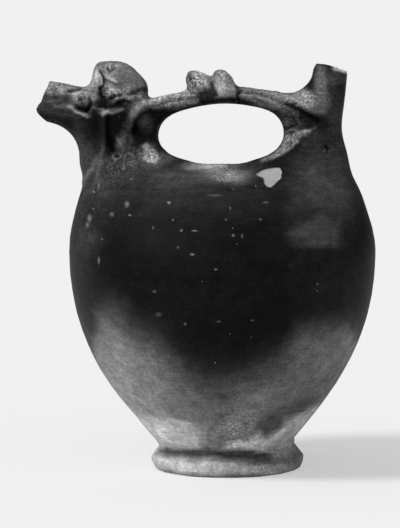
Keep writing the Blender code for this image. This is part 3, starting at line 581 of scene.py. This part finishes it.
# Stains, and spots of painted shade and sheen where their comments say so
STAINS_SHADE_AND_SHEEN = [
    # place, half-width, half-height in mm, turn in degrees, tone, strength, softness
    # Foot, and the body's lower right side
    ((-13.8, 22.3), 4.5, 4.5, 0, 0.66, 0.9, 0.3),
    ((68.3, 69.2), 14, 16, -20, 0.48, 0.6, 0.9),
    ((84.9, 73.4), 6, 12, 20, 0.56, 0.7, 0.8),
    ((86.1, 90.6), 5, 12, 15, 0.20, 0.7, 0.8),
    ((25.8, 37.7), 20, 10, 0, 0.47, 0.6, 0.8),
    ((15.2, 22.9), 16, 7, 0, 0.54, 0.6, 0.6),
    ((54.2, 25.2), 2, 3, 30, 0.34, 0.8, 0.5),
    ((32.9, 21.1), 8, 2, 0, 0.70, 0.6, 0.6),
    ((47.7, 9.8), 5, 3, 0, 0.60, 0.8, 0.5),
    ((-17.9, 0.9), 36, 6, 2, 0.70, 0.9, 0.6),
    ((23.4, -2.1), 34, 3.5, 0, 0.66, 0.9, 0.6),
    # Lighter right end of the foot's rim: partly its own colour, partly painted light that lifts its shade
    ((55.3, 5.0), 7, 7, 0, 0.44, 0.9, 0.5),
    # Right shoulder and filling neck
    # Paler upper right shoulder: partly worn slip, partly painted sheen of the light overhead
    ((69.5, 165.4), 18, 22, 0, 0.29, 0.8, 0.8),
    ((74.9, 218.9), 6, 18, 0, 0.19, 0.8, 0.5),
    ((76.6, 232.0), 6, 4, 0, 0.30, 0.8, 0.6),
    ((77.8, 193.9), 9, 20, 0, 0.24, 0.8, 0.8),
    ((66.0, 193.9), 8, 12, 0, 0.19, 0.8, 0.8),
    ((81.4, 159.5), 10, 30, -15, 0.27, 0.6, 0.8),
    # Shoulders and sides
    # This and the next: painted sheen down the left edge and over the left shoulder, a reflection of the
    # bright room at the left
    ((-75.9, 138.7), 9, 42, 0, 0.20, 0.75, 0.9),
    ((-65.2, 159.5), 12, 26, 0, 0.16, 0.6, 0.9),
    # Painted shade: a darker tone that offsets the key lamp's light on the left of the shoulder
    ((-38.0, 136.9), 26, 22, 0, 0.07, 0.7, 0.9),
    ((68.3, 122.7), 22, 24, 0, 0.15, 0.8, 0.9),
    # Painted sheen: a paler spot on the left edge
    ((-69.9, 135.7), 6, 7, 0, 0.27, 0.6, 0.9),
    # Neck under the head
    ((-71.1, 195.1), 7, 22, 0, 0.26, 0.75, 0.8),
    ((-66.4, 173.7), 4, 12, 20, 0.30, 0.6, 0.8),
    ((-55.8, 177.3), 20, 12, 0, 0.25, 0.6, 0.8),
    ((-41.6, 183.2), 15, 9, 10, 0.33, 0.8, 0.7),
    # Saddle
    # Paler band along the upper shoulder: partly worn slip, partly painted sheen of the light overhead
    ((-21.5, 165.4), 64, 16, 0, 0.23, 0.6, 0.8),
    ((-1.4, 176.1), 26, 7, 4, 0.32, 0.7, 0.8),
    ((11.6, 173.7), 13, 5, 0, 0.50, 0.9, 0.7),
    ((1.6, 180.9), 13, 3.5, 4, 0.70, 0.9, 0.7),
    # Head and broken spout
    ((-52.2, 232.0), 20, 12, 0, 0.52, 0.95, 0.4),
    # Painted shade: the crest's right end, turned from the light, made darker
    ((-41.6, 229.6), 9, 10, 0, 0.36, 0.7, 0.7),
    ((-65.2, 227.2), 8, 10, 0, 0.50, 0.8, 0.5),
    ((-73.5, 220.1), 7, 6, 0, 0.53, 0.85, 0.4),
    ((-86.5, 225.4), 15, 5, 5, 0.53, 0.95, 0.5),
    ((-91.2, 215.3), 18, 6, -10, 0.26, 0.9, 0.4),
    # This and the next two: painted shade in the hollow under the crest's front, in the hollow below the eye,
    # and under the crest where it overhangs the neck
    ((-60.5, 217.1), 5, 5, 0, 0.14, 0.8, 0.6),
    ((-72.9, 213.5), 5, 3, 20, 0.14, 0.8, 0.6),
    ((-47.5, 208.2), 9, 8, 20, 0.13, 0.9, 0.4),
    ((-56.4, 211.5), 7, 1.5, 8, 0.55, 0.8, 0.5),
    ((-74.1, 211.2), 7, 1.4, -28, 0.50, 0.8, 0.5),
    # Neck under the crest, and the handle's left root
    # Painted shade in the slot between the neck and the handle's root, under the crest
    ((-53.4, 201.1), 6, 12, 0, 0.12, 0.9, 0.4),
    ((-68.8, 201.7), 5, 8, 0, 0.09, 0.8, 0.8),
    ((-33.3, 218.3), 8, 3, 0, 0.36, 0.7, 0.6),
    # This and the next: painted shade deeper in that slot, and on the root's inner face, turned from the
    # light under the handle
    ((-48.4, 202.3), 3, 7, 10, 0.12, 0.9, 0.5),
    ((-38.0, 202.3), 7, 10, 0, 0.12, 0.9, 0.4),
    ((-51.0, 194.5), 3, 5, -25, 0.30, 0.8, 0.6),
    ((-32.7, 187.4), 7, 6, 0, 0.36, 0.8, 0.6),
    ((-21.5, 186.2), 10, 4, 25, 0.42, 0.6, 0.6),
    ((-41.0, 211.8), 5, 12, 35, 0.36, 0.85, 0.5),
    # Handle
    ((-15.6, 220.7), 24, 6, 8, 0.54, 0.95, 0.5),
    ((35.3, 222.5), 26, 7, -12, 0.41, 0.95, 0.4),
    ((36.4, 217.1), 22, 3.5, -14, 0.42, 0.9, 0.5),
    ((51.8, 214.1), 10, 5, -20, 0.41, 0.85, 0.6),
    ((60.1, 219.5), 9, 4.5, -25, 0.58, 0.85, 0.6),
    # Worn figure
    ((-4.3, 231.4), 9, 7, -15, 0.62, 0.95, 0.5),
    ((11.0, 229.6), 8, 9, 0, 0.62, 0.95, 0.5),
    # Painted shade in the hollow between the figure's two lumps
    ((-0.2, 220.7), 5, 5, 0, 0.13, 0.9, 0.5),
    # Handle's right root and underside, and the filling neck beside them
    ((49.4, 207.0), 8, 6, 0, 0.34, 0.8, 0.6),
    ((67.2, 229.6), 4, 13, 0, 0.40, 0.85, 0.6),
    ((68.3, 217.7), 6, 6, 0, 0.34, 0.8, 0.6),
    # This and the next: painted shade in the recess under the handle's right root, and painted shadow on the
    # handle's underside above the hole
    ((60.1, 207.6), 12, 4, -35, 0.13, 0.7, 0.6),
    ((12.8, 217.1), 15, 2.2, 0, 0.12, 0.95, 0.4),
]
# Tones of the smoked slip, of the flamed grey, and what the left side and the lowest part add to it
DARK = 0.098
FLAMED = 0.36
FLAMED_LEFT = 0.14
LOWEST = 0.08
LOWEST_LEFT = 0.06
LOWEST_DEPTH = 40
LEFT_SIDE = (-39.2, 49.4)
WORN_LIP = 0.75
# Middle of the filling neck's mouth in mm, and the way that it looks
MOUTH = np.array([75.06, 0, 238.14])
MOUTH_AXIS = np.array([0.284, 0, 0.959])
# Broad and small lumps of colour: their sizes, how far edges wander with them in mm, and the tone's share
BROAD_SIZE = 30 * MM
SMALL_SIZE = 7 * MM
BROAD_WANDER = 2.6
SMALL_WANDER = 1.0
BROAD_MOTTLE = 0.08
SMALL_MOTTLE = 0.12
# How far the clouds' edges swing on the far side, in mm, and the share of each stain and painted spot that it
# has
FAR_SWING = 9
FAR_SPOT_SHARE = 0.35
# The seen side's colours pass into the far side's over twice this
HALF_BLEND = 6 * MM


def cloud(x, z, place, wide, high, turn, softness):
    """A turned oval with soft edges: 1 in its middle and 0 outside it."""
    x0, z0 = place
    c, s = math.cos(math.radians(turn)), math.sin(math.radians(turn))
    along, across = (x - x0) * c + (z - z0) * s, (z - z0) * c - (x - x0) * s
    return 1 - ease(np.hypot(along / wide, across / high), 1 - softness, 1 + softness)


at, out = places(vessel)
x, z = on_middle_plane(at)
shown = facing(at, out)
near = 1 - ease(at[:, 1], -HALF_BLEND, HALF_BLEND)
outside = np.flatnonzero(np.maximum(shown, out[:, 2]) > 0.0)
broad = lumps(at + 0.4, BROAD_SIZE, 3, outside)
small = lumps(at + 0.5, SMALL_SIZE, 3, outside)
seen_x, seen_z = x, z
# Cloud edges wander by a few millimetres on the body, and less on the foot and on small parts
loose = (0.15 + 0.85 * ease(z, 22, 60)) * (1 - 0.6 * ease(z, 160, 185))
x = x + loose * (BROAD_WANDER * broad + SMALL_WANDER * small)
z = z + loose * (BROAD_WANDER * broad + SMALL_WANDER * lumps(at + 0.6, SMALL_SIZE, 3, outside))
edge_x, starts, ends = np.array(CLOUD_EDGE).T
round_side = np.arctan2(at[:, 1], at[:, 0] - BODY_AXIS_X)
far_swing = (1 - near) * FAR_SWING * np.sin(2 * round_side + 0.6)
start = np.interp(x, edge_x, starts) + far_swing
end = np.interp(x, edge_x, ends) + far_swing
to_left = 1 - ease(x, *LEFT_SIDE)
tone = DARK + ease(start - z, 0, start - end) * (FLAMED + FLAMED_LEFT * to_left - DARK)
tone += ease(end - z, 0, LOWEST_DEPTH) * (LOWEST + LOWEST_LEFT * to_left)
# Stains and spots of painted shade and sheen, fainter on the far side, which isn't seen
for place_seen, wide, high, turn, spot_tone, strength, softness in STAINS_SHADE_AND_SHEEN:
    share = strength * cloud(x, z, place_seen, wide, high, turn, softness)
    share = share * (FAR_SPOT_SHARE + (1 - FAR_SPOT_SHARE) * near)
    tone += share * (spot_tone - tone)
for patch_tone, blur, outline in PATCHES:
    share = ease(inside_outline(x, z, outline), -0.5 * blur, 0.5 * blur) * near * shown
    tone += share * (patch_tone - tone)
# The lip of the filling neck is worn pale on the side away from the handle
along = (at / MM - MOUTH) @ MOUTH_AXIS
lip = ease(along, -2.2, -0.9) * ease(seen_x, 71.9, 76.6) * (at[:, 2] > 230 * MM)
tone += lip * (WORN_LIP - tone)
tone *= 1 + SMALL_MOTTLE * small + BROAD_MOTTLE * broad
tone = np.clip(tone, 0.05, 0.9)
bare = np.where((near > 0.5) & (shown > 0.02), inside_outline(seen_x, seen_z, CHIP), -9)
for name, values in (("tone", tone), ("bare", bare)):
    layer = vessel.data.attributes.new(name, "FLOAT", "POINT")
    layer.data.foreach_set("value", values.astype(np.float32))

# Burnished clay
# Earthenware under a slip rubbed with a pebble while leather-hard: near black, with a low soft gloss, the
# pebble's fine strokes and pale specks of lime, and a dry, rougher, paler body where the slip is gone.
MOTTLE_SIZE = 6 * MM
SPECKLE_SIZE = 1.4 * MM
STROKE_LENGTH = 14 * MM
# A stroke is this many times as long as it is high
STROKE_SHAPE = 15.0
SPECK_CELLS_PER_METRE = 130.0
CLUSTER_SIZE = 26 * MM
RELIEF_HEIGHT = 0.6 * MM
LIME_STRENGTH = 0.65
# What a ridge adds to the tone, and the share of it that darkening takes away, in furrows and in the painted
# contact shadow under the foot
RIDGE_PALENESS = 0.24
DARKENING_SHARE = 0.6
# From a tone as the eye reads it to a share of light
EYE_POWER = 2.2


def grey(code):
    """A neutral sRGB hex value as linear red, green, blue and alpha."""
    values = [int(code[n : n + 2], 16) / 255 for n in (1, 3, 5)]
    return [v / 12.92 if v <= 0.04045 else ((v + 0.055) / 1.055) ** 2.4 for v in values] + [1.0]


clay.use_nodes = True
tree = clay.node_tree
tree.nodes.clear()
metres = add_node(tree, "ShaderNodeTexCoord").outputs["Object"]
tone_at, bare_at, dark_furrows_and_foot_shadow_at, pale_ridges_at, grit_at = (
    add_node(tree, "ShaderNodeAttribute", {"attribute_name": name}).outputs["Fac"]
    for name in ("tone", "bare", "dark_furrows_and_foot_shadow", "pale_ridges", "grit")
)

# Mottling of the slip, its speckle, and the pebble's strokes, which run level
mottle_links = {"Vector": metres, "Scale": 1 / MOTTLE_SIZE, "Detail": 5.0, "Roughness": 0.62}
mottle = add_node(tree, "ShaderNodeTexNoise", None, mottle_links)
speckle_links = {"Vector": metres, "Scale": 1 / SPECKLE_SIZE, "Detail": 3.0, "Roughness": 0.65}
speckle = add_node(tree, "ShaderNodeTexNoise", None, speckle_links)
drawn_out = add_node(tree, "ShaderNodeMapping", None, {"Vector": metres, "Scale": (1.0, 1.0, STROKE_SHAPE)})
stroke_links = {"Vector": drawn_out, "Scale": 1 / STROKE_LENGTH, "Detail": 4.0, "Roughness": 0.6}
strokes = add_node(tree, "ShaderNodeTexNoise", None, stroke_links)
swings = [
    # pattern, its lowest and highest value, and how far it swings the tone
    (mottle, 0.25, 0.75, 0.17),
    (speckle, 0.25, 0.75, 0.1),
    (strokes, 0.3, 0.7, 0.08),
]
shade = tone_at
for pattern, low, high, swing in swings:
    swing_links = {"Value": pattern, "From Min": low, "From Max": high}
    swing_links.update({"To Min": 1 - swing, "To Max": 1 + swing})
    factor = add_node(tree, "ShaderNodeMapRange", None, swing_links)
    shade = add_node(tree, "ShaderNodeMath", {"operation": "MULTIPLY"}, {0: shade, 1: factor})
# Grit is speckled: its light specks are painted glints on the grains, and dark specks lie between them
grit_links = {"Value": speckle, "From Min": 0.36, "From Max": 0.66, "To Min": -0.42, "To Max": 0.5}
grit_swing = add_node(tree, "ShaderNodeMapRange", None, grit_links)
contrast_links = {0: grit_at, 1: grit_swing, 2: 1.0}
contrast = add_node(tree, "ShaderNodeMath", {"operation": "MULTIPLY_ADD"}, contrast_links)
shade = add_node(tree, "ShaderNodeMath", {"operation": "MULTIPLY"}, {0: shade, 1: contrast})
# Ridges are paler and furrows darker; the same darkening paints the contact shadow under the foot
paler_links = {0: pale_ridges_at, 1: RIDGE_PALENESS, 2: shade}
shade = add_node(tree, "ShaderNodeMath", {"operation": "MULTIPLY_ADD"}, paler_links)
undarkened_links = {0: dark_furrows_and_foot_shadow_at, 1: -DARKENING_SHARE, 2: 1.0}
undarkened = add_node(tree, "ShaderNodeMath", {"operation": "MULTIPLY_ADD"}, undarkened_links)
shade = add_node(tree, "ShaderNodeMath", {"operation": "MULTIPLY"}, {0: shade, 1: undarkened})
linear = add_node(tree, "ShaderNodeMath", {"operation": "POWER"}, {0: shade, 1: EYE_POWER})
slip_grey = add_node(tree, "ShaderNodeCombineColor", None, {"Red": linear, "Green": linear, "Blue": linear})
# Bare clay in the one clean chip on the shoulder
ragged = add_node(tree, "ShaderNodeMath", {"operation": "MULTIPLY_ADD"}, {0: mottle, 1: 1.2, 2: bare_at})
flaked = add_node(tree, "ShaderNodeMapRange", None, {"Value": ragged, "From Min": 0.3, "From Max": 0.9})
bare_links = {"Fac": mottle, "Color1": grey("#8c8c8c"), "Color2": grey("#b4b4b4")}
bare_grey = add_node(tree, "ShaderNodeMixRGB", None, bare_links)
body_links = {"Fac": flaked, "Color1": slip_grey, "Color2": bare_grey}
body_grey = add_node(tree, "ShaderNodeMixRGB", None, body_links)
# Specks of lime: the larger ones where they are seen, with loose edges, and finer ones in clusters
LIME = [
    # place, half-width and half-height in mm, lightness
    ((-69.0, 148.7), 1.8, 2.4, 0.40),
    ((-70.2, 144.8), 1.4, 1.8, 0.36),
    ((-63.6, 123.6), 0.9, 2.5, 0.40),
    ((-46.9, 156.9), 1.6, 2.2, 0.45),
    ((-55.8, 150.9), 1.6, 1.4, 0.30),
    ((-45.2, 150.5), 0.9, 0.7, 0.70),
    ((-66.4, 164.2), 0.8, 0.7, 0.60),
    ((-63.6, 167.8), 0.8, 2.8, 0.32),
    ((-66.8, 154.3), 0.6, 0.6, 0.50),
    ((-61.7, 136.3), 0.8, 0.7, 0.35),
    ((-31.4, 143.1), 0.5, 1.5, 0.35),
    ((-22.1, 157.9), 1.3, 0.8, 0.75),
    ((-19.8, 147.8), 0.7, 0.7, 0.45),
    ((-14.7, 141.4), 0.9, 0.8, 0.55),
    ((-7.0, 141.2), 2.1, 0.5, 0.55),
    ((-16.8, 131.3), 0.7, 1.0, 0.35),
    ((-8.2, 127.2), 1.5, 0.7, 0.55),
    ((5.6, 118.3), 1.1, 0.6, 0.45),
    ((5.1, 162.2), 5.0, 0.6, 0.22),
    ((14.0, 154.7), 0.6, 1.4, 0.35),
    ((11.6, 147.7), 0.7, 0.7, 0.40),
    ((15.9, 138.5), 1.1, 0.9, 0.40),
    ((21.1, 138.1), 0.8, 1.8, 0.25),
    ((31.9, 147.9), 1.0, 0.7, 0.35),
    ((35.0, 158.0), 2.0, 0.8, 0.25),
    ((-48.7, 178.1), 1.4, 0.8, 0.45),
    ((-44.2, 172.0), 1.2, 0.7, 0.35),
    ((-30.7, 105.1), 1.2, 0.9, 0.28),
    ((-28.3, 91.5), 2.2, 1.4, 0.20),
    ((-12.6, 85.8), 0.9, 0.9, 0.38),
    ((7.4, 87.3), 1.5, 0.6, 0.28),
    ((27.2, 87.9), 1.2, 0.7, 0.25),
]
LOOSE_EDGE = Vector((1.4, 1.4, 1.4)) * MM
uneven = add_node(
    tree,
    "ShaderNodeVectorMath",
    {"operation": "MULTIPLY_ADD"},
    {0: speckle.outputs["Color"], 1: LOOSE_EDGE, 2: metres},
)
lime = 0.0
for (x0, z0), wide, high, lightness in LIME:
    way = (Vector((x0, 0, z0)) * MM - STATION).normalized()
    spot = vessel.ray_cast(STATION, way)[1]
    # A speck reaches well in from the skin, so that the skin's curve doesn't cut it off
    stretch = Vector((1 / wide, 0.3 / wide, 1 / high)) / MM
    shift = -(spot + LOOSE_EDGE / 2) * stretch
    spot_links = {0: uneven, 1: stretch, 2: shift}
    from_spot = add_node(tree, "ShaderNodeVectorMath", {"operation": "MULTIPLY_ADD"}, spot_links)
    off = add_node(tree, "ShaderNodeVectorMath", {"operation": "LENGTH"}, {0: from_spot}).outputs["Value"]
    fade_links = {"Value": off, "From Min": 1.15, "From Max": 0.2}
    fade_links.update({"To Min": 0.0, "To Max": LIME_STRENGTH * lightness})
    faded = add_node(tree, "ShaderNodeMapRange", None, fade_links)
    lime = add_node(tree, "ShaderNodeMath", {"operation": "MAXIMUM"}, {0: lime, 1: faded})
lime_links = {"Fac": lime, "Color1": body_grey, "Color2": grey("#b0b0b0")}
limed = add_node(tree, "ShaderNodeMixRGB", None, lime_links)
cell_links = {"Vector": metres, "Scale": SPECK_CELLS_PER_METRE, "Randomness": 1.0}
cells = add_node(tree, "ShaderNodeTexVoronoi", None, cell_links)
patchy_links = {"Vector": metres, "Scale": 1 / CLUSTER_SIZE, "Detail": 1.0}
patchy = add_node(tree, "ShaderNodeTexNoise", None, patchy_links)
dot_links = {"Value": patchy, "From Min": 0.46, "From Max": 0.7, "To Min": 0.0, "To Max": 0.09}
dotted = add_node(tree, "ShaderNodeMapRange", None, dot_links)
speck = add_node(tree, "ShaderNodeMath", {"operation": "LESS_THAN"}, {0: cells, 1: dotted})
speck_links = {"Fac": speck, "Color1": limed, "Color2": grey("#777777")}
specked = add_node(tree, "ShaderNodeMixRGB", None, speck_links)
# The slip is glossiest where it is blackest; grit and bare clay are dry
slip_links = {"Value": tone_at, "From Min": 0.1, "From Max": 0.45, "To Min": 0.5, "To Max": 0.66}
slip_gloss = add_node(tree, "ShaderNodeMapRange", None, slip_links)
dry_links = {"Value": grit_at, "From Min": 0.15, "From Max": 0.5, "To Min": 0.3, "To Max": 0.8}
dry_gloss = add_node(tree, "ShaderNodeMapRange", None, dry_links)
gloss = add_node(tree, "ShaderNodeMath", {"operation": "MAXIMUM"}, {0: slip_gloss, 1: dry_gloss})
gloss = add_node(tree, "ShaderNodeMath", {"operation": "MAXIMUM"}, {0: gloss, 1: flaked})
# Strokes and grit stand up by a few tenths of a millimetre
grit_bump = {"Value": grit_at, "From Min": 0.1, "From Max": 0.7, "To Min": 0.5, "To Max": 2.0}
grit_height = add_node(tree, "ShaderNodeMapRange", None, grit_bump)
relief = add_node(tree, "ShaderNodeMath", {"operation": "MULTIPLY"}, {0: speckle, 1: grit_height})
relief = add_node(tree, "ShaderNodeMath", {"operation": "MULTIPLY_ADD"}, {0: strokes, 1: 0.5, 2: relief})
bump_links = {"Height": relief, "Strength": 0.5, "Distance": RELIEF_HEIGHT}
bump = add_node(tree, "ShaderNodeBump", None, bump_links)
surface_links = {"Base Color": specked, "Roughness": gloss, "Normal": bump}
surface_links.update({"IOR": 1.4, "Specular IOR Level": 0.05})
surface = add_node(tree, "ShaderNodeBsdfPrincipled", None, surface_links)
add_node(tree, "ShaderNodeOutputMaterial", None, {"Surface": surface})

vessel.data.shade_smooth()
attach(vessel, "root")
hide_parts("askos")

# Floor and light
# A plain pale table that runs on far behind the jug, lit from the left by a soft lamp and from above and all
# round by pale light; the room in front is dim, which keeps the black slip black. The table also glows, which
# is painted light that thins its shadows and lights the jug from below.
floor_mesh = bpy.data.meshes.new("floor")
sheet = bmesh.new()
bmesh.ops.create_grid(sheet, x_segments=1, y_segments=1, size=30)
sheet.to_mesh(floor_mesh)
sheet.free()
floor = bpy.data.objects.new("floor", floor_mesh)
bpy.context.scene.collection.objects.link(floor)
table = bpy.data.materials.new("glowing_white_board")
table.use_nodes = True
table_surface = table.node_tree.nodes["Principled BSDF"]
table_surface.inputs["Base Color"].default_value = grey("#a8a8a8")
table_surface.inputs["Roughness"].default_value = 0.9
table_surface.inputs["Specular IOR Level"].default_value = 0.0
table_surface.inputs["Emission Color"].default_value = (1.0, 1.0, 1.0, 1.0)
# Painted light: the board glows, which thins the shadows on it and lights the jug from below
table_surface.inputs["Emission Strength"].default_value = 0.47
floor_mesh.materials.append(table)
floor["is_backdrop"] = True

LAMPS = [
    # name, way round from the front and height in degrees, strength, breadth in degrees
    ("key_lamp", -64, 47, 2.6, 16),
    ("front_lamp", 15, 30, 0.35, 60),
]
for name, azimuth, elevation, strength, breadth in LAMPS:
    lamp_data = bpy.data.lights.new(name, "SUN")
    lamp_data.energy = strength
    lamp_data.angle = math.radians(breadth)
    lamp = bpy.data.objects.new(name, lamp_data)
    turn, lift = math.radians(azimuth), math.radians(elevation)
    towards = Vector((math.sin(turn) * math.cos(lift), -math.cos(turn) * math.cos(lift), math.sin(lift)))
    lamp.rotation_euler = towards.to_track_quat("Z", "Y").to_euler()
    bpy.context.scene.collection.objects.link(lamp)

# The room: white behind the jug and brighter to its left and overhead
world = bpy.data.worlds.new("studio")
world.use_nodes = True
bpy.context.scene.world = world
air = world.node_tree
air.nodes.clear()
way = add_node(air, "ShaderNodeTexCoord")
parts = add_node(air, "ShaderNodeSeparateXYZ", None, {0: way.outputs["Generated"]})
left_links = {"Value": parts.outputs["X"], "From Min": 0.1, "From Max": -0.8, "To Min": 0.0, "To Max": 0.32}
left = add_node(air, "ShaderNodeMapRange", None, left_links)
top_links = {"Value": parts.outputs["Z"], "From Min": 0.3, "From Max": 1.0, "To Min": 0.10, "To Max": 0.45}
top = add_node(air, "ShaderNodeMapRange", None, top_links)
room = add_node(air, "ShaderNodeMath", {"operation": "ADD"}, {0: left, 1: top})
ray = add_node(air, "ShaderNodeLightPath")
wall = add_node(air, "ShaderNodeMixRGB", None, {"Fac": ray, "Color1": room, "Color2": grey("#f2f2f2")})
light = add_node(air, "ShaderNodeBackground", None, {"Color": wall, "Strength": 1.0})
add_node(air, "ShaderNodeOutputWorld", None, {"Surface": light})
bpy.context.scene.view_settings.view_transform = "Standard"

low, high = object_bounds()
